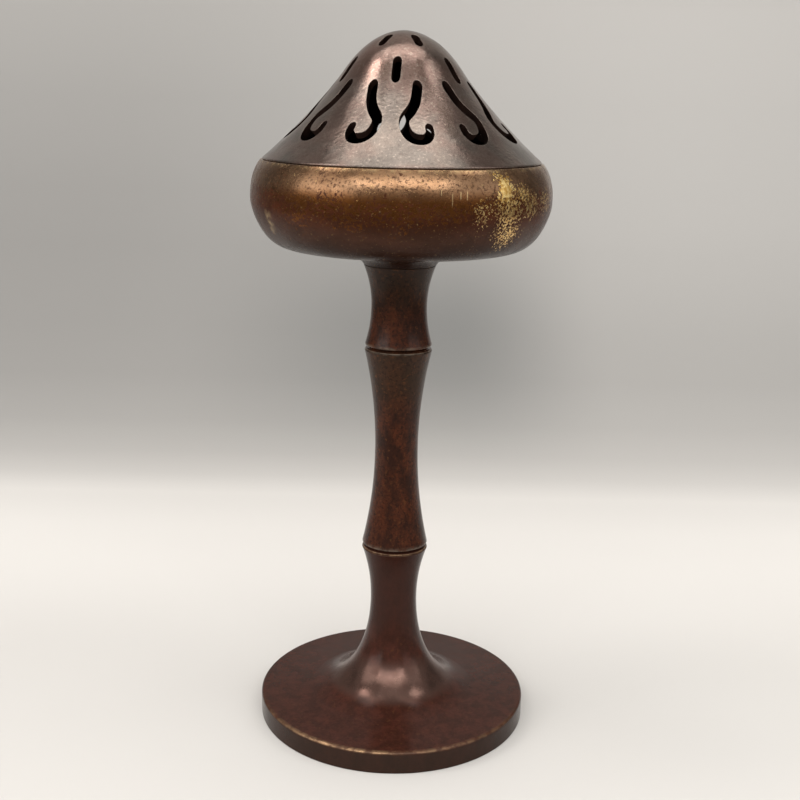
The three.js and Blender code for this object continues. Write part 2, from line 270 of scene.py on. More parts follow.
def rounded(before, corner, after, radius):
    """Fillet of a corner between two neighbours, with a support point on each side."""
    corner = Vector(corner)
    u = (Vector(before) - corner).normalized()
    v = (Vector(after) - corner).normalized()
    half = u.angle(v) / 2
    reach = radius / tan(half)
    centre = corner + (u + v).normalized() * (radius / sin(half))
    first = corner + u * reach - centre
    last = corner + v * reach - centre
    turn = first.angle_signed(last)
    support = reach + radius * SUPPORT_SHARE
    made = [corner + u * support]
    for i in range(FILLET_STEPS + 1):
        made.append(centre + Matrix.Rotation(-turn * i / FILLET_STEPS, 2) @ first)
    made.append(corner + v * support)
    return made


def rounded_box(inner, outer, bottom, top, radius):
    """Closed profile of a ring with a rectangular section and rounded edges."""
    box = [(inner, bottom), (outer, bottom), (outer, top), (inner, top)]
    profile = []
    for i, corner in enumerate(box):
        profile += rounded(box[i - 1], corner, box[(i + 1) % 4], radius)
    return profile


def directions(line):
    """Direction of a line at each of its points."""
    return [(b - a).normalized() for a, b in zip(line[:1] + line, line[1:] + line[-1:])]


def edge_wear(height, edge, band):
    """Wear at a height of an edge with a worn band."""
    strength, up, half = band
    return strength * max(0.0, 1 - abs(height - edge - up) / half)


# Meshes

def linked(name, data):
    """New object in the scene."""
    made = bpy.data.objects.new(name, data)
    bpy.context.collection.objects.link(made)
    return made


def smooth_mesh(name, vertices, faces, materials):
    """Smooth mesh from vertices in millimetres."""
    mesh = bpy.data.meshes.new(name)
    mesh.from_pydata([v * MM for v in vertices], [], faces)
    mesh.polygons.foreach_set("use_smooth", [True] * len(faces))
    for material in materials:
        mesh.materials.append(material)
    return mesh


def finished(name, skin, body, nodes, materials):
    """Smooth object from a skin in millimetres, which rides on a body and stands for nodes."""
    mesh = smooth_mesh(name, skin.vertices, skin.faces, materials)
    mesh.polygons.foreach_set("material_index", skin.finishes)
    mesh.update()
    if skin.normals:
        mesh.normals_split_custom_set_from_vertices(skin.normals)
    piece = linked(name, mesh)
    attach(piece, body)
    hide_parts(*nodes)
    return piece


def paint(piece, name, values):
    """Writes one number for each vertex."""
    layer = piece.data.attributes.new(name, "FLOAT", "POINT")
    layer.data.foreach_set("value", values)


def round_place(radius, turn, height):
    """Place at a radius and a share of a turn, which starts at the front and goes towards +X."""
    angle = 2 * pi * turn
    return Vector((radius * sin(angle), -radius * cos(angle), height))


class Skin:
    """Vertices and faces joined from rings round the axis, each face with the number of its finish."""

    def __init__(self, steps):
        self.steps = steps
        self.vertices = []
        self.normals = []
        self.faces = []
        self.finishes = []

    def ring(self, radius, height):
        """Indices of a new ring, or of one point on the axis. Radius and height may be functions
        of the turn."""
        first = len(self.vertices)
        if radius == 0:
            self.vertices.append(Vector((0, 0, height)))
            return [first]
        for i in range(self.steps):
            turn = i / self.steps
            r = radius(turn) if callable(radius) else radius
            z = height(turn) if callable(height) else height
            self.vertices.append(round_place(r, turn, z))
        return list(range(first, first + self.steps))

    def face(self, corners, finish=0):
        """Face without its doubled corners."""
        self.faces.append(list(dict.fromkeys(corners)))
        self.finishes.append(finish)

    def join(self, lower, upper, finish=0):
        """Faces between two rings, facing out where the profile runs upwards on the outside."""
        for i in range(len(max(lower, upper, key=len))):
            a, b = lower[i % len(lower)], lower[(i + 1) % len(lower)]
            c, d = upper[(i + 1) % len(upper)], upper[i % len(upper)]
            self.face([a, b, c, d], finish)

    def turn(self, profile, closed, inside=()):
        """Skin of a whole profile. Stretches that start at the numbers inside get the second finish."""
        rings = [self.ring(*p) for p in profile]
        pairs = list(zip(rings, rings[1:])) + ([(rings[-1], rings[0])] if closed else [])
        for k, (lower, upper) in enumerate(pairs):
            self.join(lower, upper, 1 if k in inside else 0)


def turned(node, profile, steps, body, materials, closed=True, wear=None, inside=()):
    """Turned piece that stands for a node."""
    skin = Skin(steps)
    skin.turn(profile, closed, inside)
    piece = finished(node + "_turned", skin, body, [node], materials)
    if wear:
        paint(piece, "wear", [wear(v) for v in skin.vertices])
    return piece


# Materials

class Shader:
    """Node tree of one material, built with one call for each node."""

    def __init__(self, name):
        self.material = bpy.data.materials.new(name)
        self.material.use_nodes = True
        self.tree = self.material.node_tree
        self.tree.nodes.clear()
        self.place = self.node("TexCoord").outputs["Object"]
        self.axes = self.node("SeparateXYZ", {0: self.place}).outputs

    def node(self, kind, inputs=None, **settings):
        """Node with its inputs linked or set."""
        made = self.tree.nodes.new("ShaderNode" + kind)
        for key, value in settings.items():
            setattr(made, key, value)
        for key, value in (inputs or {}).items():
            if isinstance(value, bpy.types.NodeSocket):
                self.tree.links.new(value, made.inputs[key])
            else:
                made.inputs[key].default_value = value
        return made

    def noise(self, size, detail=3.0, roughness=0.55, stretch=(1, 1, 1), shift=0.0):
        """Noise whose main features are about a size in millimetres."""
        moved = self.node(
            "Mapping", {"Vector": self.place, "Scale": stretch, "Location": (shift, shift, shift)}
        ).outputs["Vector"]
        inputs = {"Vector": moved, "Scale": 1 / (size * MM), "Detail": detail, "Roughness": roughness}
        return self.node("TexNoise", inputs).outputs["Fac"]

    def remap(self, value, low, high, to_low=0.0, to_high=1.0):
        """Smooth step between two values. High may be less than low, which turns the step round."""
        inputs = {"Value": value, "From Min": low, "From Max": high, "To Min": to_low, "To Max": to_high}
        return self.node("MapRange", inputs, interpolation_type="SMOOTHSTEP").outputs["Result"]

    def cloud(self, size, *shape, low=0.35, high=0.65, to_low=0.0, to_high=1.0, **settings):
        """Noise of a size, remapped."""
        return self.remap(self.noise(size, *shape, **settings), low, high, to_low, to_high)

    def across(self, axis, start, end, to_start=0.0, to_end=1.0):
        """Smooth step between two places along an axis, in millimetres."""
        return self.remap(self.axes[axis], start * MM, end * MM, to_start, to_end)

    def aside(self, x, start, end, to_start=0.0, to_end=1.0):
        """Smooth step between two distances from a place along X, in millimetres."""
        distance = self.math("ABSOLUTE", self.math("SUBTRACT", self.axes["X"], x * MM))
        return self.remap(distance, start * MM, end * MM, to_start, to_end)

    def under_seam(self, start, end, to_start=0.0, to_end=1.0):
        """Smooth step between two depths under the bowl's seam, in millimetres."""
        return self.across("Z", SEAM - start, SEAM - end, to_start, to_end)

    def roughness(self, size, detail, smooth, rough, **settings):
        """Roughness that changes in patches of a size."""
        return self.cloud(size, detail, low=0.3, high=0.7, to_low=smooth, to_high=rough, **settings)

    def wear(self, size, *shape, high=0.6, least=0.1):
        """The wear painted on the vertices, broken up by a noise of a size."""
        broken = self.cloud(size, *shape, low=0.4, high=high, to_low=least)
        return self.product(self.attribute("wear"), broken)

    def product(self, a, b):
        return self.math("MULTIPLY", a, b)

    def greater(self, a, b):
        return self.math("MAXIMUM", a, b)

    def math(self, operation, a, b=0.0):
        return self.node("Math", {0: a, 1: b}, operation=operation).outputs[0]

    def blend(self, factor, a, b):
        """Colour between a and b."""
        return self.node("Mix", {0: factor, 6: a, 7: b}, data_type="RGBA").outputs[2]

    def attribute(self, name):
        return self.node("Attribute", attribute_name=name).outputs["Fac"]

    def finish(self, inputs, heights):
        """Surface with stacked bumps, each a height with its distance in millimetres."""
        normal = None
        for height, distance in heights:
            bump = {"Height": height, "Distance": distance * MM, "Strength": 1.0}
            if normal:
                bump["Normal"] = normal
            normal = self.node("Bump", bump).outputs["Normal"]
        surface = self.node("BsdfPrincipled", dict(inputs, Normal=normal))
        self.node("OutputMaterial", {"Surface": surface.outputs["BSDF"]})
        return self.material


def rgb(red, green, blue):
    """Opaque colour in linear light."""
    return (red, green, blue, 1.0)


COVER_GREY = (rgb(0.125, 0.105, 0.09), rgb(0.178, 0.143, 0.12))
COVER_WARM = rgb(0.175, 0.113, 0.092)
COVER_CROWN = rgb(0.2, 0.116, 0.092)
COVER_BRIGHT_GRAIN = rgb(0.28, 0.23, 0.19)
COVER_DARK_GRAIN = rgb(0.07, 0.048, 0.039)
# Colour of the worn slot edges, partly a painted highlight
COVER_RUBBED_AND_HIGHLIGHT = rgb(0.3, 0.25, 0.21)


def cover_patina():
    """Grey-brown cast bronze, rubbed to a satin with fine ripples in places."""
    s = Shader("cover_patina")
    warm = s.cloud(13, 3, 0.5, shift=4, low=0.4, high=0.62, to_high=0.7)
    crown = s.product(s.across("Z", SEAM + 15, SEAM + 24, 0, 0.75), s.across("X", -2, -9, 0.35, 1))
    grain = s.noise(0.7, 4, 0.65)
    ripple = s.noise(1.2, 2, 0.5, (1, 1, 1.5), 2)
    rippled = s.product(ripple, s.cloud(7, 2, 0.5, shift=9, low=0.4, high=0.6, to_low=0.2))
    base = s.blend(s.cloud(8, 4, 0.6), *COVER_GREY)
    base = s.blend(warm, base, COVER_WARM)
    base = s.blend(crown, base, COVER_CROWN)
    base = s.blend(s.remap(grain, 0.53, 0.72, 0, 0.65), base, COVER_BRIGHT_GRAIN)
    base = s.blend(s.remap(grain, 0.44, 0.3, 0, 0.55), base, COVER_DARK_GRAIN)
    # Wear on the slot edges, partly a painted highlight
    base = s.blend(s.wear(2.5, 3, high=0.62), base, COVER_RUBBED_AND_HIGHLIGHT)
    return s.finish(
        {"Base Color": base, "Metallic": 0.86, "Roughness": s.roughness(5, 4, 0.15, 0.24)},
        [(s.noise(9, 2), 0.08), (rippled, 0.048), (grain, 0.008)],
    )


# Spots of bare gilding and of rubbed bronze on the bowl: degrees round from the front, height,
# half width, half height and strength
GILT_SPOTS = (
    (39.8, 156.0, 3.2, 4.4, 1.25),
    (36.5, 159.3, 2.4, 1.6, 0.7),
    (29.5, 150.4, 3.2, 5.2, 0.42),
    (35.0, 152.6, 3.0, 3.6, 0.42),
    (42.0, 150.4, 6.4, 5.6, 0.66),
    (43.0, 145.0, 6.0, 4.8, 0.58),
    (48.0, 154.6, 3.6, 3.6, 0.65),
    (53.5, 151.8, 4.6, 4.6, 0.6),
    (66.0, 152.0, 5.5, 4.0, 0.45),
)
RUBBED_SPOTS = ((-57.5, 146.0, 1.8, 3.6, 0.65),)


def spot_strength(place, spots):
    """Strength of a list of spots at a place on the bowl."""
    strength = 0.0
    for around, height, half_width, half_height, peak in spots:
        turn = degrees(atan2(place.x, -place.y)) - around
        across = radians(turn) * BOWL_RADIUS / half_width
        up = (place.z - height) / half_height
        strength = max(strength, peak * max(0.0, 1 - across * across - up * up))
    return strength


# Fine upright scratches on the bowl's front: place towards +X, lowest and highest level
SCRATCHES = (
    (9.6, 154.7, 156.6),
    (12.3, 152.2, 155.7),
    (14.3, 153.8, 156.1),
    (15.9, 153.6, 156.2),
)
SCRATCH_HALF_WIDTH = 0.16
SCRATCH_CORE = 0.05
SCRATCH_FADE = 0.6
SCRATCH_STRENGTH = 0.8


def scratched(s):
    """Strength of the scratches."""
    total = 0.0
    for x, low, high in SCRATCHES:
        line = s.aside(x, SCRATCH_HALF_WIDTH, SCRATCH_CORE, 0, SCRATCH_STRENGTH)
        line = s.product(line, s.across("Z", low, low + SCRATCH_FADE))
        line = s.product(line, s.across("Z", high, high - SCRATCH_FADE))
        total = s.greater(total, line)
    return s.product(total, s.across("Y", 0, -5))


# Place along X round which the bowl is rubbed most, and the distances over which that fades
RUBBED_MIDDLE = -7
RUBBED_FADE = (14, 31)

BOWL_BROWN = (rgb(0.042, 0.0122, 0.005), rgb(0.066, 0.0185, 0.0075))
BOWL_LOW_BROWN = (rgb(0.044, 0.018, 0.01), rgb(0.064, 0.026, 0.015))
# Painted shade under the bowl, darkest towards the collar
BOWL_UNDERSIDE_SHADE = rgb(0.014, 0.006, 0.004)
BOWL_BRONZE = (rgb(0.19, 0.103, 0.054), rgb(0.25, 0.146, 0.082))
BOWL_LOW_BRONZE = rgb(0.145, 0.053, 0.014)
BOWL_SPECK = rgb(0.04, 0.016, 0.008)
BOWL_SPECK_STRENGTH = 0.66
BOWL_RUBBED = rgb(0.5, 0.35, 0.18)
GILDING = (rgb(0.56, 0.32, 0.08), rgb(1.0, 0.74, 0.31))
LOW_GILDING = rgb(0.58, 0.37, 0.17)


def bowl_patina():
    """Red-brown patina, rubbed through to golden bronze in fine mottles towards the seam."""
    s = Shader("bowl_patina")
    cloud = s.cloud(8, 5, 0.6, (1, 1, 1.6))
    brown = s.blend(s.under_seam(12, 17), s.blend(cloud, *BOWL_BROWN), s.blend(cloud, *BOWL_LOW_BROWN))
    # Painted shade on the underside, darker towards the collar
    brown = s.blend(s.under_seam(16.5, 23, 0, 0.85), brown, BOWL_UNDERSIDE_SHADE)
    bronze = s.blend(s.under_seam(4, 8), s.blend(cloud, *BOWL_BRONZE), BOWL_LOW_BRONZE)

    # Bare bronze in mottles, most of it near the seam
    mottle = s.noise(0.85, 4, 0.65, (1, 1, 1.2), 1.7)
    height = s.under_seam(20, 3.5, -0.5, 1.1)
    broad = s.cloud(11, 3, 0.5, shift=6, to_low=-0.2, to_high=0.2)
    aside = s.product(s.aside(RUBBED_MIDDLE, *RUBBED_FADE), s.under_seam(3, 9, 0.3, 1))
    worn = s.math("ADD", height, s.math("ADD", broad, s.remap(aside, 0, 1, 0.03, -0.42)))
    worn = s.math("ADD", worn, s.remap(mottle, 0.34, 0.66, -0.6, 0.6))
    bare = s.remap(worn, 0.28, 0.66)
    base = s.blend(bare, brown, bronze)

    speck = s.noise(0.7, 4, 0.65)
    dark = s.remap(speck, 0.52, 0.63, 0, BOWL_SPECK_STRENGTH)
    dark = s.product(dark, s.under_seam(20, 13, 0.15, 1))
    base = s.blend(dark, base, BOWL_SPECK)

    gold = s.cloud(0.6, 4, 0.7, shift=3, low=0.32, high=0.68, to_low=-0.55, to_high=0.55)
    gold = s.remap(s.math("ADD", s.attribute("gilt"), gold), 0.5, 0.64)
    leaf = s.blend(s.cloud(0.9, 3, shift=7, low=0.4, high=0.62), *GILDING)
    leaf = s.blend(s.across("Z", 154, 149, 0, 0.6), leaf, LOW_GILDING)
    base = s.blend(gold, base, leaf)

    wear = s.greater(s.wear(1.6, 3), scratched(s))
    base = s.blend(wear, base, BOWL_RUBBED)
    metal = s.product(bare, s.remap(dark, 0, BOWL_SPECK_STRENGTH, 1, 0.4))
    metal = s.greater(metal, s.greater(gold, wear))
    return s.finish(
        {"Base Color": base, "Metallic": metal, "Roughness": s.roughness(4, 4, 0.2, 0.32), "IOR": 1.19},
        [(s.noise(8, 2), 0.08), (mottle, 0.03), (speck, 0.015), (gold, 0.04)],
    )


# Levels between which the stem's colour turns duller and browner towards the top of a piece; at the top of
# the upper piece, under the bowl, this is painted shade
DULL_AND_SHADE_BANDS = ((UPPER_BOTTOM + 6, BOWL_BOTTOM), (UPPER_BOTTOM - 22, UPPER_BOTTOM - NECK_HEIGHT))
DULL_RISE = 14

# Heights over which the polished part sets in, fades and turns to the dark patina above it
POLISH_RISE = 2.5
POLISH_FADE = 6
POLISH_TO_DARK = 12
# Duller colour of the pieces' tops, painted shade under the bowl on the upper piece
STEM_DULL_AND_SHADE = rgb(0.032, 0.018, 0.009)
STEM_SPECK = rgb(0.016, 0.007, 0.0045)
STEM_FLECK = rgb(0.17, 0.068, 0.028)
RIM_SIDE = rgb(0.02, 0.0115, 0.007)
POLISHED = rgb(0.12, 0.07, 0.056)


def stem_patina(name, dark, warm, worn, roughness, grain, polish=None):
    """Red-brown patina from dark to warm, with dark specks, small orange ones, bright rims that are worn and
    carry painted highlights, and painted shade at the top under the bowl.
    Grain is the strength of the specks. Polish gives two heights between which the patina shines."""
    s = Shader(name)
    broad = s.cloud(4, 5, 0.65, (1, 1, 0.6), low=0.37, high=0.63, to_low=0.35 - 0.3 * grain)
    fine = s.cloud(0.8, 4, 0.65, shift=2, low=0.4, high=0.6, to_low=1 - 0.45 * grain)
    base = s.blend(s.product(broad, fine), dark, warm)
    # Duller, browner tops: painted shade under the bowl on the upper piece
    for low, high in DULL_AND_SHADE_BANDS:
        dull_and_shade = s.product(s.across("Z", low, low + DULL_RISE, 0, 0.65), s.across("Z", high + 1, high))
        base = s.blend(dull_and_shade, base, STEM_DULL_AND_SHADE)
    speck = s.noise(0.9, 4, 0.65)
    base = s.blend(s.remap(speck, 0.52, 0.62, 0, 0.7 * grain), base, STEM_SPECK)
    fleck = s.noise(1.0, 5, 0.7, shift=5)
    bare = s.remap(fleck, 0.57, 0.69, 0, 0.7 * grain)
    base = s.blend(bare, base, STEM_FLECK)
    base = s.blend(s.across("Z", RIM_HEIGHT, RIM_HEIGHT - 1, 0, 0.7), base, RIM_SIDE)
    metal = s.product(bare, 0.8)
    if polish:
        low, high = polish
        shine = s.product(s.across("Z", low, low + POLISH_RISE), s.across("Z", high, high - POLISH_FADE))
        shine = s.product(shine, s.cloud(4, 4, shift=8, low=0.3, high=0.7, to_low=0.65))
        base = s.blend(shine, base, POLISHED)
        metal = s.greater(metal, s.product(shine, 0.84))
        base = s.blend(s.across("Z", high, high + POLISH_TO_DARK, 0, 0.65), base, dark)
    # The worn colour on the rims and ledges is partly a painted highlight
    wear = s.wear(2.2, 4, 0.6, least=0.2)
    base = s.blend(wear, base, worn)
    return s.finish(
        {
            "Base Color": base,
            "Metallic": s.greater(metal, wear),
            "Roughness": s.roughness(5, 4, *roughness),
            "IOR": 1.24,
        },
        [(s.noise(6, 2), 0.06), (speck, 0.02), (fleck, 0.015)],
    )


def soot_and_shade():
    """Dull dark coat inside the cover and the bowl and on the walls of the slots: soot, which also paints the
    shade in the slots.
    """
    s = Shader("soot_and_shade_inside")
    base = s.blend(s.cloud(4, 4), rgb(0.006, 0.0025, 0.0015), rgb(0.013, 0.006, 0.004))
    return s.finish({"Base Color": base, "Roughness": 0.75, "IOR": 1.13}, [(s.noise(1.2, 3), 0.04)])


def zinc():
    """Zinc coat of the fasteners, drawn out along their axis."""
    s = Shader("zinc_steel")
    base = s.blend(s.cloud(2, 4), rgb(0.42, 0.42, 0.41), rgb(0.56, 0.56, 0.55))
    roughness = s.roughness(0.7, 3, 0.3, 0.5, stretch=(1, 1, 0.2))
    return s.finish(
        {"Base Color": base, "Metallic": 1.0, "Roughness": roughness},
        [(s.noise(0.5, 2), 0.01)],
    )


# Cover

SHOULDER = Vector((SHOULDER_RADIUS, SEAM + SHOULDER_UP))
COVER_EDGE = Vector((SEAM_RADIUS, SEAM))
SHOULDER_ABOVE = down_slope(SHOULDER, SHOULDER_SLOPE, -SHOULDER_PULL_UP)
SHOULDER_BELOW = down_slope(SHOULDER, SHOULDER_SLOPE, SHOULDER_PULL_DOWN)
EDGE_ABOVE = down_slope(COVER_EDGE, EDGE_SLOPE, -EDGE_PULL)
DOME = bezier(DOME_STEPS, (0, COVER_TOP), (CROWN_PULL, COVER_TOP), SHOULDER_ABOVE, SHOULDER)
FLANK = bezier(FLANK_STEPS, SHOULDER, SHOULDER_BELOW, EDGE_ABOVE, COVER_EDGE)
COVER_LINE = DOME + FLANK[1:]
COVER_RADII = [place.x for place, _ in COVER_LINE]


def on_cover(radius):
    """Height and outward direction of the cover's outer surface at a radius."""
    high = min(max(bisect_left(COVER_RADII, radius), 1), len(COVER_LINE) - 1)
    (a, ta), (b, tb) = COVER_LINE[high - 1], COVER_LINE[high]
    share = min(max((radius - a.x) / (b.x - a.x), 0.0), 1.0)
    along = ta.lerp(tb, share).normalized()
    return a.y + (b.y - a.y) * share, Vector((-along.y, along.x))


def under_cover(plan, depth):
    """Place and outward direction at a depth under the cover's outer surface, over a plan point."""
    radius = plan.length
    height, out = on_cover(radius)
    spoke = plan / radius if radius > PLAN_LEAST else Vector((0, 0))
    direction = Vector((spoke.x * out.x, spoke.y * out.x, out.y))
    return Vector((plan.x, plan.y, height)) - direction * depth, direction


def smooth_line(knots, steps):
    """Points of a smooth line through knots, evenly spread."""
    knots = [knots[0] * 2 - knots[1]] + list(knots) + [knots[-1] * 2 - knots[-2]]
    fine = []
    for a, b, c, d in zip(knots, knots[1:], knots[2:], knots[3:]):
        for i in range(SMOOTHING_STEPS):
            t = i / SMOOTHING_STEPS
            pull = (2 * a - 5 * b + 4 * c - d) * t * t + (3 * b - a - 3 * c + d) * t**3
            fine.append((2 * b + (c - a) * t + pull) / 2)
    fine.append(knots[-2])
    lengths = [0.0]
    for a, b in zip(fine, fine[1:]):
        lengths.append(lengths[-1] + (b - a).length)
    made = []
    k = 0
    for i in range(steps + 1):
        aim = lengths[-1] * i / steps
        while k < len(fine) - 2 and lengths[k + 1] < aim:
            k += 1
        share = (aim - lengths[k]) / (lengths[k + 1] - lengths[k])
        made.append(fine[k].lerp(fine[k + 1], share))
    return made


class Slot:
    """Round-ended stroke in plan, with a half width for each point of its middle line."""

    def __init__(self, line, halves):
        self.line = line
        self.halves = halves
        self.middle = line[len(line) // 2]
        self.reach = max((p - self.middle).length for p in line) + max(halves)

    def outline(self, grow):
        """Clockwise outline grown by a distance, always with the same number of points."""
        left, right = [], []
        for here, along, half in zip(self.line, directions(self.line), self.halves):
            side = Vector((-along.y, along.x)) * (half + grow)
            left.append(here + side)
            right.append(here - side)
        tip = self.cap(self.line[-1], left[-1])
        tail = self.cap(self.line[0], right[0])
        return left + tip + right[::-1] + tail

    def cap(self, end, start):
        """Half circle round an end, without its first and last point."""
        arm = start - end
        turns = [-pi * i / CAP_STEPS for i in range(1, CAP_STEPS)]
        return [end + Matrix.Rotation(turn, 2) @ arm for turn in turns]

    def clears(self, point, margin):
        """Whether a point lies outside the stroke by a margin."""
        if (point - self.middle).length > self.reach + margin:
            return True
        for a, b, half in zip(self.line, self.line[1:], self.halves):
            ab = b - a
            t = min(max((point - a).dot(ab) / ab.length_squared, 0.0), 1.0)
            if (point - a - ab * t).length < half + margin:
                return False
        return True


def plan_point(radius, angle):
    return Vector((radius * sin(angle), -radius * cos(angle)))


def straight_slot(slot, angle):
    """Slot along a spoke, given as the radii of its ends and its width."""
    start, end, width = slot
    half = width / 2
    length = end - start - width
    radii = [start + half + length * i / SLOT_STEPS for i in range(SLOT_STEPS + 1)]
    return Slot([plan_point(r, angle) for r in radii], [half] * len(radii))


def scroll_slot(angle, hand):
    """Scroll beside a rib: hand is 1 or -1 for its side."""
    knots = [plan_point(r, angle + hand * across / r) for across, r in SCROLL_KNOTS]
    line = smooth_line(knots, SCROLL_STEPS)
    halves = []
    for i in range(len(line)):
        t = i / (len(line) - 1)
        taper = min(max((t - SCROLL_TAPER_FROM) / (1 - SCROLL_TAPER_FROM), 0), 1)
        halves.append((SCROLL_WIDTH + (SCROLL_TIP_WIDTH - SCROLL_WIDTH) * taper) / 2)
    return Slot(line, halves)


def all_slots():
    made = []
    for k in range(SECTORS):
        angle = FIRST_SECTOR + 2 * pi * k / SECTORS
        made.append(straight_slot(CROWN_SLOT, angle + pi / SECTORS))
        made.append(straight_slot(RIB_SLOT, angle))
        made.append(scroll_slot(angle, 1))
        made.append(scroll_slot(angle, -1))
    return made


def pierced_plan(slots, limit):
    """Triangles of the plan disc around the slots: points, faces, outer border and each slot's border."""
    points, edges, borders = [], [], []
    rim = [plan_point(limit, 2 * pi * i / ROUND_STEPS) for i in range(ROUND_STEPS)]
    for ring in [rim] + [slot.outline(SLOT_ROUND) for slot in slots]:
        border = list(range(len(points), len(points) + len(ring)))
        points += ring
        edges += zip(border, border[1:] + border[:1])
        borders.append(border)
    rows = round(limit / PLAN_SPACING)
    for row in range(rows):
        radius = limit * row / rows
        count = max(1, round(2 * pi * radius / PLAN_SPACING))
        for i in range(count):
            p = plan_point(radius, 2 * pi * (i + 0.5 * (row % 2)) / count)
            if all(slot.clears(p, SLOT_ROUND + PLAN_GAP) for slot in slots):
                points.append(p)
    vertices, _, faces, origin, _, _ = delaunay_2d_cdt(points, edges, [], 1, PLAN_LEAST)
    place_of = {o: i for i, found in enumerate(origin) for o in found}
    kept = []
    for face in faces:
        a, b, c = (vertices[i] for i in face)
        if all(slot.clears((a + b + c) / 3, SLOT_ROUND / 2) for slot in slots):
            kept.append(face if (b - a).cross(c - a) > 0 else face[::-1])
    rim, *borders = [[place_of[i] for i in border] for border in borders]
    return vertices, kept, rim, borders


class CoverSkin(Skin):
    """Skin whose vertices also have a normal and a wear."""

    def __init__(self):
        super().__init__(ROUND_STEPS)
        self.wear = []

    def add(self, place, normal, worn=0.0):
        self.vertices.append(place)
        self.normals.append(normal.normalized())
        self.wear.append(worn)
        return len(self.vertices) - 1

    def slot_wall(self, slot, top, bottom):
        """Rounded edge and wall of one slot, between its borders on the outer and the inner surface."""
        # Faces from the second ring of the rounded edge down take the dark inside coat, which paints the
        # shade in the slot
        first_dark = 2
        layers = []
        for k in range(1, SLOT_FILLET_STEPS + 1):
            bend = pi / 2 * k / SLOT_FILLET_STEPS
            layers.append((SLOT_ROUND * (1 - sin(bend)), SLOT_ROUND * (1 - cos(bend)), bend))
        layers.append((0.0, COVER_WALL / 2, pi / 2))
        layers.append((0.0, COVER_WALL - SLOT_ROUND, pi / 2))
        rings = [top]
        for grow, depth, bend in layers:
            shape = slot.outline(grow)
            ring = []
            for i, p in enumerate(shape):
                place, out = under_cover(p, depth)
                ahead = shape[(i + 1) % len(shape)] - shape[i - 1]
                inward = Vector((ahead.y, -ahead.x, 0)).normalized()
                # The rounded edge takes wear that also paints a highlight along it
                worn = cos(bend) if depth < SLOT_ROUND else 0.0
                ring.append(self.add(place, out * cos(bend) + inward * sin(bend), worn))
            rings.append(ring)
        rings.append(bottom)
        for k, (upper, lower) in enumerate(zip(rings, rings[1:])):
            for i in range(len(upper)):
                j = (i + 1) % len(upper)
                self.face([upper[i], lower[i], lower[j], upper[j]], 1 if k >= first_dark else 0)

    def skirt(self, line, before, last):
        """Rings along a line from one border to another, the last strip with the second finish."""
        for p, along in zip(line, directions(line)):
            ring = []
            for i in range(ROUND_STEPS):
                turn = i / ROUND_STEPS
                ring.append(self.add(round_place(p.x, turn, p.y), round_place(-along.y, turn, along.x)))
            self.join(ring, before)
            before = ring
        self.join(last, before, 1)


def cover(materials):
    slots = all_slots()
    split = REGISTER_RADIUS - PLAN_SHORT
    plan, triangles, rim, borders = pierced_plan(slots, split)
    skin = CoverSkin()
    outer = [skin.add(*under_cover(p, 0.0)) for p in plan]
    inner = []
    for p in plan:
        place, direction = under_cover(p, COVER_WALL)
        inner.append(skin.add(place, -direction))
    for triangle in triangles:
        skin.face([outer[i] for i in triangle])
        skin.face([inner[i] for i in reversed(triangle)], 1)
    # Wear on the outer border of each slot, partly a painted highlight
    for slot, border in zip(slots, borders):
        for i in border:
            skin.wear[outer[i]] = SLOT_EDGE_WEAR_AND_HIGHLIGHT
        skin.slot_wall(slot, [outer[i] for i in border], [inner[i] for i in border])
    lower = [p for p in places(FLANK) if p.x > split + 2 * POINT_GAP]
    edge = rounded(lower[-4], COVER_EDGE, (REGISTER_RADIUS, SEAM), SEAM_ROUND)
    line = [p for p in lower if p.x < edge[0].x - POINT_GAP] + edge
    line += [Vector((REGISTER_RADIUS, SEAM)), Vector((REGISTER_RADIUS, REGISTER_TOP))]
    skin.skirt(line, [outer[i] for i in rim], [inner[i] for i in rim])
    piece = finished("cover_shell", skin, "cover", ["cover"], materials)
    paint(piece, "wear", skin.wear)


def register_ring(material):
    inner = REGISTER_RADIUS - REGISTER_WALL
    profile = rounded_box(inner, REGISTER_RADIUS, REGISTER_BOTTOM, REGISTER_TOP, REGISTER_ROUND)
    turned("cover_register_ring", profile, ROUND_STEPS, "cover", [material])


# Bowl

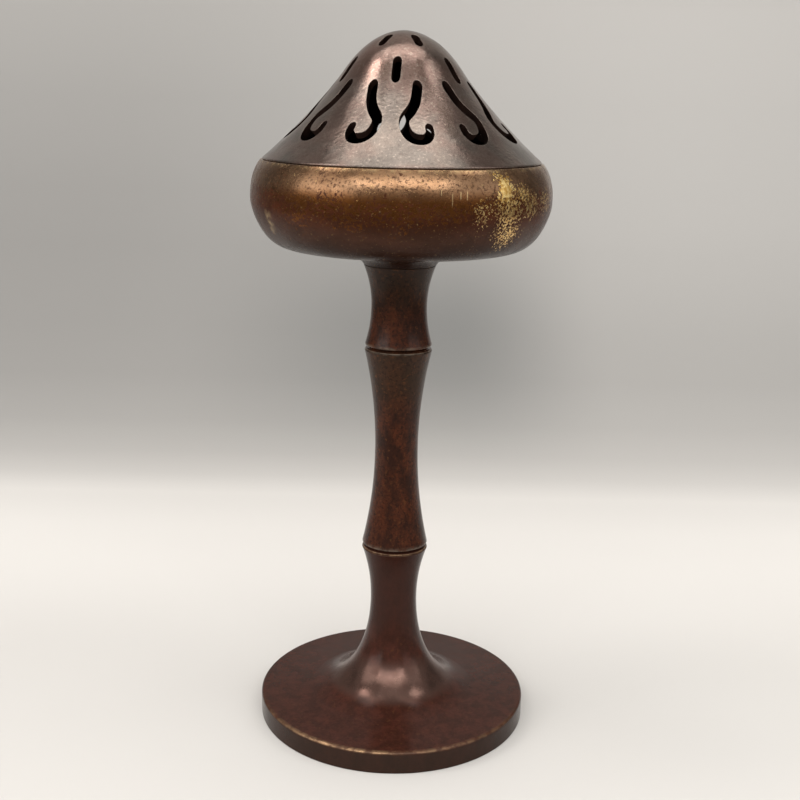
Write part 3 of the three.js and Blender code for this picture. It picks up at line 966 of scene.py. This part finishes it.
def bowl(materials):
    edge = COVER_EDGE
    start = Vector((COLLAR_RADIUS, BOWL_BOTTOM))
    collar_end = start + Vector((COLLAR_FLARE, COLLAR_HEIGHT))
    underside = Vector((UNDERSIDE_RADIUS, BOWL_BOTTOM + UNDERSIDE_UP))
    equator = Vector((BOWL_RADIUS, BOWL_BOTTOM + BOWL_EQUATOR_UP))
    under_slope = (underside - collar_end) / (underside - collar_end).x
    collar = bezier(
        COLLAR_STEPS,
        start + Vector((0, COLLAR_CHAMFER)),
        start + Vector((COLLAR_FLARE / 8, COLLAR_HEIGHT / 3)),
        collar_end - under_slope * (COLLAR_FLARE / 2),
        collar_end,
    )
    below_equator = equator - Vector((0, EQUATOR_PULL_DOWN))
    above_equator = equator + Vector((0, EQUATOR_PULL_UP))
    past_edge = down_slope(edge, BOWL_SEAM_SLOPE, BOWL_SEAM_PULL)
    belly = bezier(BELLY_STEPS, underside, underside + under_slope * BELLY_PULL_OUT, below_equator, equator)
    shoulder = bezier(BOWL_SHOULDER_STEPS, equator, above_equator, past_edge, edge)
    mouth = SEAM_RADIUS - MOUTH_INSET
    lip = SEAM - LIP_DEPTH
    hole_top = BOWL_BOTTOM + ROD_HOLE_DEPTH
    shoulder_places = places(shoulder)
    edge_round = rounded(shoulder_places[-3], edge, (mouth, SEAM), SEAM_ROUND)
    boss_top = Vector((BOSS_RADIUS, hole_top + BOSS_WALL))
    boss_foot = Vector((BOSS_RADIUS + BOSS_FILLET, collar_end.y + BOWL_WALL))
    seen = [
        Vector((0, hole_top)),
        Vector((THREAD_HOLE, hole_top)),
        Vector((THREAD_HOLE, BOWL_BOTTOM)),
        start - Vector((COLLAR_CHAMFER, 0)),
        *places(collar),
        *places(belly),
        *[p for p in shoulder_places[1:] if p.y < edge_round[0].y - POINT_GAP],
        *edge_round,
        *rounded((SEAM_RADIUS - 1, SEAM), (mouth, SEAM), (mouth, lip), LIP_ROUND),
    ]
    chamber = [
        *rounded((mouth, SEAM), (mouth, lip), (mouth + LIP_LEDGE, lip - LIP_FALL), LIP_ROUND),
        *[p for p in places(shoulder, BOWL_WALL) if p.y < lip - LIP_TO_WALL][::-1],
        *places(belly, BOWL_WALL)[::-1][1:],
        *rounded((UNDERSIDE_RADIUS, underside.y + BOWL_WALL), boss_foot, boss_top, BOSS_FOOT_ROUND),
        *rounded(boss_foot, boss_top, (0, boss_top.y), BOSS_EDGE_ROUND),
        Vector((0, boss_top.y)),
    ]

    def wear(v):
        """Wear of the edge at the seam and of the rubbed spots."""
        worn = edge_wear(v.z, SEAM, SEAM_WEAR) if v.xy.length > mouth + 1 else 0.0
        return max(worn, spot_strength(v, RUBBED_SPOTS))

    inside = range(len(seen), len(seen) + len(chamber))
    piece = turned(
        "bowl", seen + chamber, ROUND_STEPS, "stand", materials,
        closed=False, wear=wear, inside=inside,
    )
    paint(piece, "gilt", [spot_strength(v.co / MM, GILT_SPOTS) for v in piece.data.vertices])


# Stem and foot

def rim_end(arc, inward, radius):
    """An arc from its waist to its rim, with the rim's edge rounded towards a point further in."""
    edge = rounded(arc[-3], arc[-1], inward, radius)
    reach = (edge[0] - arc[-1]).length
    return [p for p in arc if (p - arc[-1]).length > reach + POINT_GAP / 2] + edge


def neck(bottom):
    """Fine groove, sloping ledge and dark neck over a rim, up to the seat of the piece above and its hole."""
    top = bottom + NECK_HEIGHT
    groove = LEDGE_RADIUS - LEDGE_REACH
    ledge_foot = Vector((LEDGE_RADIUS, bottom + LEDGE_GROOVE))
    ledge_top = ledge_foot + Vector((-LEDGE_SLOPE, LEDGE_HEIGHT))
    return [
        Vector((groove, bottom)),
        Vector((groove, ledge_foot.y)),
        ledge_foot - Vector((LEDGE_BEVEL, 0)),
        ledge_foot + Vector((0, LEDGE_BEVEL)),
        ledge_top,
        ledge_top + Vector((-LEDGE_TOP_BEVEL, LEDGE_TOP_RISE)),
        Vector((NECK_RADIUS, ledge_top.y + LEDGE_TOP_RISE)),
        Vector((NECK_RADIUS, top)),
        Vector((ROD_HOLE, top)),
    ]


def rim_wear_and_highlight(bottom, top):
    """Wear and painted highlights of a stem piece: a soft painted highlight over its lower rim, and bright
    edges at its upper rim and ledge, worn and with a painted highlight.
    """
    ledge_foot = top + LEDGE_GROOVE

    def wear(v):
        if v.xy.length <= NECK_RADIUS + NECK_MARGIN:
            return 0.0
        rims = max(edge_wear(v.z, bottom, LOW_RIM_HIGHLIGHT), edge_wear(v.z, top, HIGH_RIM_WEAR_AND_HIGHLIGHT))
        ledge = LEDGE_WEAR_AND_HIGHLIGHT if ledge_foot <= v.z <= ledge_foot + LEDGE_HEIGHT else 0.0
        return max(rims, ledge)
    return wear


def internode(node, bottom, top, waist, high_radius, above, material):
    """Stem piece between two rims, with what lies over its upper rim."""
    waist = (waist[0], bottom + waist[1])
    low_arc = waist_arc(waist, (NODE_RADIUS, bottom), WAIST_STEPS)
    high_arc = waist_arc(waist, (high_radius, top), WAIST_STEPS)
    low = rim_end(low_arc, (ROD_HOLE, bottom), LOW_RIM_ROUND)
    high = rim_end(high_arc, (above[0].x, top), HIGH_RIM_ROUND)
    profile = [Vector((ROD_HOLE, bottom)), *low[::-1], *high[1:], *above]
    turned(node, profile, STEM_STEPS, "stand", [material], wear=rim_wear_and_highlight(bottom, top))


def upper_internode(material):
    top = BOWL_BOTTOM
    above = [Vector((ROD_HOLE, top))]
    internode("upper_internode", UPPER_BOTTOM, top, UPPER_WAIST, COLLAR_RADIUS, above, material)


def middle_internode(material):
    top = UPPER_BOTTOM - NECK_HEIGHT
    internode("middle_internode", MIDDLE_BOTTOM, top, MIDDLE_WAIST, NODE_RADIUS, neck(top), material)


def foot(material):
    top = MIDDLE_BOTTOM - NECK_HEIGHT
    recess = FOOT_RADIUS - FOOT_RING_WIDTH
    toe = Vector((FLARE_RADIUS, RIM_HEIGHT + DISC_RISE))
    waist = Vector(LOWER_WAIST)
    past_toe = toe + Vector((-FLARE_PULL_IN, FLARE_LIFT))
    flare = bezier(FLARE_STEPS, toe, past_toe, waist - Vector((0, FLARE_PULL_DOWN)), waist)
    high_arc = waist_arc(waist, (NODE_RADIUS, top), FOOT_WAIST_STEPS)
    high = rim_end(high_arc, (ROD_HOLE, top), HIGH_RIM_ROUND)
    # Corners from the rod's hole round the recess and the rim to the flare, each with its rounding
    corners = [
        ((ROD_HOLE, POCKET_DEPTH), 0),
        ((POCKET_RADIUS, POCKET_DEPTH), 0.4),
        ((POCKET_RADIUS, RECESS_DEPTH), 0.5),
        ((recess, RECESS_DEPTH), 0.6),
        ((recess, 0), 0.4),
        ((FOOT_RADIUS, 0), 0.3),
        ((FOOT_RADIUS, RIM_HEIGHT), RIM_ROUND),
        (toe, 0),
    ]
    profile = [Vector(corners[0][0])]
    for (before, _), (corner, radius), (after, _) in zip(corners, corners[1:], corners[2:]):
        profile += rounded(before, corner, after, radius)
    profile += places(flare) + high[1:] + neck(top)

    at_node = rim_wear_and_highlight(-1, top)

    def wear(v):
        """Wear and painted highlights of the edges at the node, and wear of the front of the disc's upper
        edge.
        """
        if v.z > RIM_HEIGHT + 1:
            return FOOT_NODE_WEAR_AND_HIGHLIGHT * at_node(v)
        if v.xy.length < FOOT_RADIUS - DISC_WEAR_INSET:
            return 0.0
        turn = degrees(atan2(v.x, -v.y))
        spread, peak = (((turn - at) / width) ** 2 for at, width in (DISC_WEAR_SPREAD, DISC_WEAR_PEAK))
        share = max(0.0, 1 - spread) * (DISC_WEAR_LEAST + (1 - DISC_WEAR_LEAST) * exp(-peak))
        return share * edge_wear(v.z, RIM_HEIGHT, DISC_WEAR)

    turned("foot", profile, ROUND_STEPS, "stand", [material], wear=wear)


# Fasteners under the foot and inside the stem

def tie_rod(material):
    radius, bottom, top = radius_and_span("tie_rod")
    skin = Skin(ROD_STEPS)

    def thread(height):
        """Radius of the threaded rod round its axis at a height."""
        from_end = min(height - bottom, top - height)
        depth = THREAD_DEPTH if from_end < THREAD_LENGTH else 0.0
        chamfer = max(0.0, THREAD_DEPTH - from_end)

        def at(turn):
            wave = abs(2 * ((height / THREAD_PITCH - turn) % 1) - 1)
            share = (1 + 2 * THREAD_FLAT) * wave - THREAD_FLAT
            return radius - max(chamfer, depth * min(max(share, 0), 1))
        return at

    step = THREAD_PITCH / THREAD_RINGS
    count = round(THREAD_LENGTH / step)
    heights = [bottom + step * i for i in range(count + 1)]
    heights += [top - step * i for i in range(count, -1, -1)]
    skin.turn([(0, bottom), *((thread(z), z) for z in heights), (0, top)], False)
    finished("tie_rod_threaded", skin, "stand", ["tie_rod"], [material])


def washer(material):
    radius, bottom, top = radius_and_span("foot_washer")
    profile = rounded_box(ROD_HOLE, radius, bottom, top, WASHER_ROUND)
    turned("foot_washer", profile, FASTENER_STEPS, "stand", [material])


def nut(material):
    _, bottom, top = radius_and_span("foot_nut")
    flat = NUT_ACROSS_FLATS / 2

    def hexagon(turn):
        return flat / cos((turn * 2 * pi) % (pi / 3) - pi / 6)

    def chamfer(turn):
        return NUT_CHAMFER + (hexagon(turn) - flat) * tan(radians(NUT_CORNER_SLOPE))

    skin = Skin(FASTENER_STEPS)
    skin.turn([
        (THREAD_HOLE, bottom + NUT_CHAMFER),
        (THREAD_HOLE + NUT_CHAMFER, bottom),
        (flat - NUT_FACE_INSET, bottom),
        (hexagon, lambda turn: bottom + chamfer(turn)),
        (hexagon, lambda turn: top - chamfer(turn)),
        (flat - NUT_FACE_INSET, top),
        (THREAD_HOLE + NUT_CHAMFER, top),
        (THREAD_HOLE, top - NUT_CHAMFER),
    ], True)
    piece = finished("foot_nut_hex", skin, "stand", ["foot_nut"], [material])
    piece.data.set_sharp_from_angle(angle=radians(NUT_SHARP_ANGLE))


# Room, light and camera

# Sweep of pale paper: floor, bend and wall
FLOOR_BACK = 190
BEND_RADIUS = 260
BEND_STEPS = 32
STAGE_HALF_WIDTH = 1800
STAGE_FRONT = -1500
STAGE_HEIGHT = 1600

# Tone of the paper at distances along it, measured from where the flat floor ends. The tones paint the light
# and shade on the sweep: darker up the bend and the lower wall, lighter again higher up
PAPER_LIGHT_AND_SHADE_TONES = (
    (0, 0.69), (10, 0.63), (24, 0.53), (48, 0.42), (80, 0.335), (120, 0.28), (160, 0.26), (220, 0.25),
    (260, 0.26), (320, 0.3), (380, 0.37), (450, 0.3),
)
PAPER_LENGTH = 450
PAPER_TINT = (1.0, 0.97, 0.93)

# Places along Y between which the floor takes on a new tone, from the back to the front; the last, dark tone
# is painted shade on the floor in front
FLOOR_TONES = ((190, 140, 0.745), (120, 30, 0.665), (-50, -220, 0.16))

# Painted light on the right half of the wall, which makes it brighter: places along X, places along the
# paper, and strengths
BRIGHT_ACROSS = (-200, 200)
BRIGHT_ALONG = (110, 265)
BRIGHT_STRENGTH = (0.1, 0.2)

# Distances to the side between which the paper turns dark, and its tone there
SIDE_FROM = 290
SIDE_TO = 520
SIDE_TONE = 0.15

# Soft shade on the paper behind the stem: its left end, middle and right end along X, then its lower end,
# middle and upper end along the paper, and its depth
SHADE_ACROSS = (-142, 31, 122)
SHADE_ALONG = (8, 160, 278)
SHADE_DEPTH = 0.4
SHADE_COLOUR = rgb(0.0, 0.012, 0.015)


def paper_colour(tone):
    return rgb(*(tone * part for part in PAPER_TINT))


def pale_paper():
    """Pale paper with the tones that the photograph's wall and table show."""
    s = Shader("pale_paper")
    # The ramp paints the light and shade along the sweep
    ramp = s.node("ValToRGB", {0: s.attribute("along")})
    stops = ramp.color_ramp.elements
    while len(stops) < len(PAPER_LIGHT_AND_SHADE_TONES):
        stops.new(0.5)
    for stop, (distance, tone) in zip(stops, PAPER_LIGHT_AND_SHADE_TONES):
        stop.position = distance / PAPER_LENGTH
        stop.color = paper_colour(tone)
    base = ramp.outputs["Color"]
    # Floor tones, the dark one in front being painted shade
    for back, front, tone in FLOOR_TONES:
        base = s.blend(s.across("Y", back, front), base, paper_colour(tone))
    # Painted light on the right of the wall
    along = [distance / PAPER_LENGTH for distance in BRIGHT_ALONG]
    bright = s.remap(s.attribute("along"), *along, *BRIGHT_STRENGTH)
    bright = s.product(s.across("X", *BRIGHT_ACROSS), bright)
    base = s.blend(bright, base, paper_colour(1.0))
    shade = SHADE_DEPTH
    for place, unit, (low, middle, high) in (
        (s.axes["X"], MM, SHADE_ACROSS),
        (s.attribute("along"), 1 / PAPER_LENGTH, SHADE_ALONG),
    ):
        shade = s.product(s.remap(place, low * unit, middle * unit), shade)
        shade = s.product(s.remap(place, high * unit, middle * unit), shade)
    base = s.blend(shade, base, SHADE_COLOUR)
    base = s.blend(s.aside(0, SIDE_FROM, SIDE_TO), base, paper_colour(SIDE_TONE))
    return s.finish({"Base Color": base, "Roughness": 0.7}, [(s.noise(2, 2), 0.02)])


def floor_and_wall():
    line = [(STAGE_FRONT, 0, 0), (FLOOR_BACK, 0, 0)]
    for i in range(1, BEND_STEPS + 1):
        angle = pi / 2 * i / BEND_STEPS
        line.append((
            FLOOR_BACK + BEND_RADIUS * sin(angle),
            BEND_RADIUS * (1 - cos(angle)),
            BEND_RADIUS * angle,
        ))
    line.append((FLOOR_BACK + BEND_RADIUS, STAGE_HEIGHT, STAGE_HEIGHT))
    sides = (-STAGE_HALF_WIDTH, STAGE_HALF_WIDTH)
    vertices = [Vector((x, y, z)) for y, z, _ in line for x in sides]
    faces = [(2 * i, 2 * i + 1, 2 * i + 3, 2 * i + 2) for i in range(len(line) - 1)]
    sweep = linked("paper_sweep", smooth_mesh("paper_sweep", vertices, faces, [pale_paper()]))
    paint(sweep, "along", [distance / PAPER_LENGTH for _, _, distance in line for _ in sides])


# Soft lamps: degrees round from the camera's side towards +X, elevation, width and height
# in degrees as seen from the object, radiance, and colour
LAMP_DISTANCE = 1300
LAMP_AIM = Vector((0, 0, 110))
LAMPS = {
    "front_window": (0, 38, 62, 15, 3.9, (1.0, 1.0, 0.99)),
    "front_window_top": (0, 51, 62, 9, 1.95, (1.0, 0.99, 0.95)),
    "front_left": (-60, 27, 44, 35, 1.31, (1.0, 0.98, 0.96)),
    "front_left_low": (-60, 18, 44, 16, 0.9, (1.0, 0.98, 0.96)),
    "front_right": (60, 27, 44, 35, 0.52, (1.0, 1.0, 1.0)),
    "front_right_low": (60, 18, 44, 16, 0.3, (1.0, 1.0, 1.0)),
    "crown": (0, 68, 40, 24, 0.45, (1.0, 0.99, 0.97)),
    "zenith": (0, 86, 30, 14, 1.65, (1.0, 0.98, 0.96)),
    "ceiling": (180, 84, 46, 17, 1.9, (1.0, 0.98, 0.95)),
    "ceiling_left": (-100, 63, 22, 18, 0.95, (1.0, 0.98, 0.95)),
    "left_window": (-90, 57, 12, 12, 5.3, (1.0, 0.94, 0.91)),
    "right_window": (80, 57, 17, 14, 2.4, (1.0, 1.0, 0.98)),
}
ROOM_TONE = 0.4
ROOM_TINT = (1.0, 0.96, 0.92)
ENERGY_PER_RADIANCE = 4


def seen_size(angle):
    """Size in metres of what the object sees under an angle in degrees at the lamps' distance."""
    return 2 * LAMP_DISTANCE * MM * tan(radians(angle / 2))


def lamp(name, azimuth, elevation, width, height, radiance, tint):
    light = bpy.data.lights.new(name, "AREA")
    light.shape = "RECTANGLE"
    light.size = seen_size(width)
    light.size_y = seen_size(height)
    light.energy = ENERGY_PER_RADIANCE * light.size * light.size_y * radiance
    light.color = tint
    made = linked(name, light)
    flat = plan_point(cos(radians(elevation)), radians(azimuth))
    away = Vector((flat.x, flat.y, sin(radians(elevation))))
    made.location = (LAMP_AIM + away * LAMP_DISTANCE) * MM
    made.rotation_euler = (-away).to_track_quat("-Z", "Y").to_euler()
    made.visible_camera = False


def lights():
    world = bpy.data.worlds.new("soft_room")
    bpy.context.scene.world = world
    world.use_nodes = True
    background = world.node_tree.nodes["Background"]
    background.inputs["Color"].default_value = rgb(*(ROOM_TONE * part for part in ROOM_TINT))
    for name, settings in LAMPS.items():
        lamp(name, *settings)


def camera():
    data = bpy.data.cameras.new("photo_camera")
    data.sensor_width = SENSOR
    data.lens = FOCAL_PIXELS / FRAME_PIXELS * SENSOR
    data.clip_start = CLIP_START
    made = linked("photo_camera", data)
    made.matrix_world = (
        Matrix.Translation(CAMERA_PLACE * MM)
        @ Matrix.Rotation(radians(90 - CAMERA_PITCH), 4, "X")
        @ Matrix.Rotation(radians(CAMERA_ROLL), 4, "Z")
    )
    bpy.context.scene.camera = made


camera()
floor_and_wall()
lights()
dark = soot_and_shade()
steel = zinc()
cover_finish = cover_patina()
stem_finish = stem_patina(
    "stem_patina",
    dark=rgb(0.024, 0.009, 0.0055),
    warm=rgb(0.068, 0.0195, 0.0085),
    worn=rgb(0.32, 0.26, 0.2),
    roughness=(0.16, 0.27),
    grain=1,
)
foot_finish = stem_patina(
    "foot_patina",
    dark=rgb(0.03, 0.0105, 0.0065),
    warm=rgb(0.057, 0.0175, 0.011),
    worn=rgb(0.46, 0.29, 0.16),
    roughness=(0.15, 0.24),
    grain=0.4,
    polish=(8.6, 20),
)
cover([cover_finish, dark])
register_ring(cover_finish)
bowl([bowl_patina(), dark])
upper_internode(stem_finish)
middle_internode(stem_finish)
foot(foot_finish)
tie_rod(steel)
washer(steel)
nut(steel)

bpy.context.scene.view_settings.view_transform = "Standard"
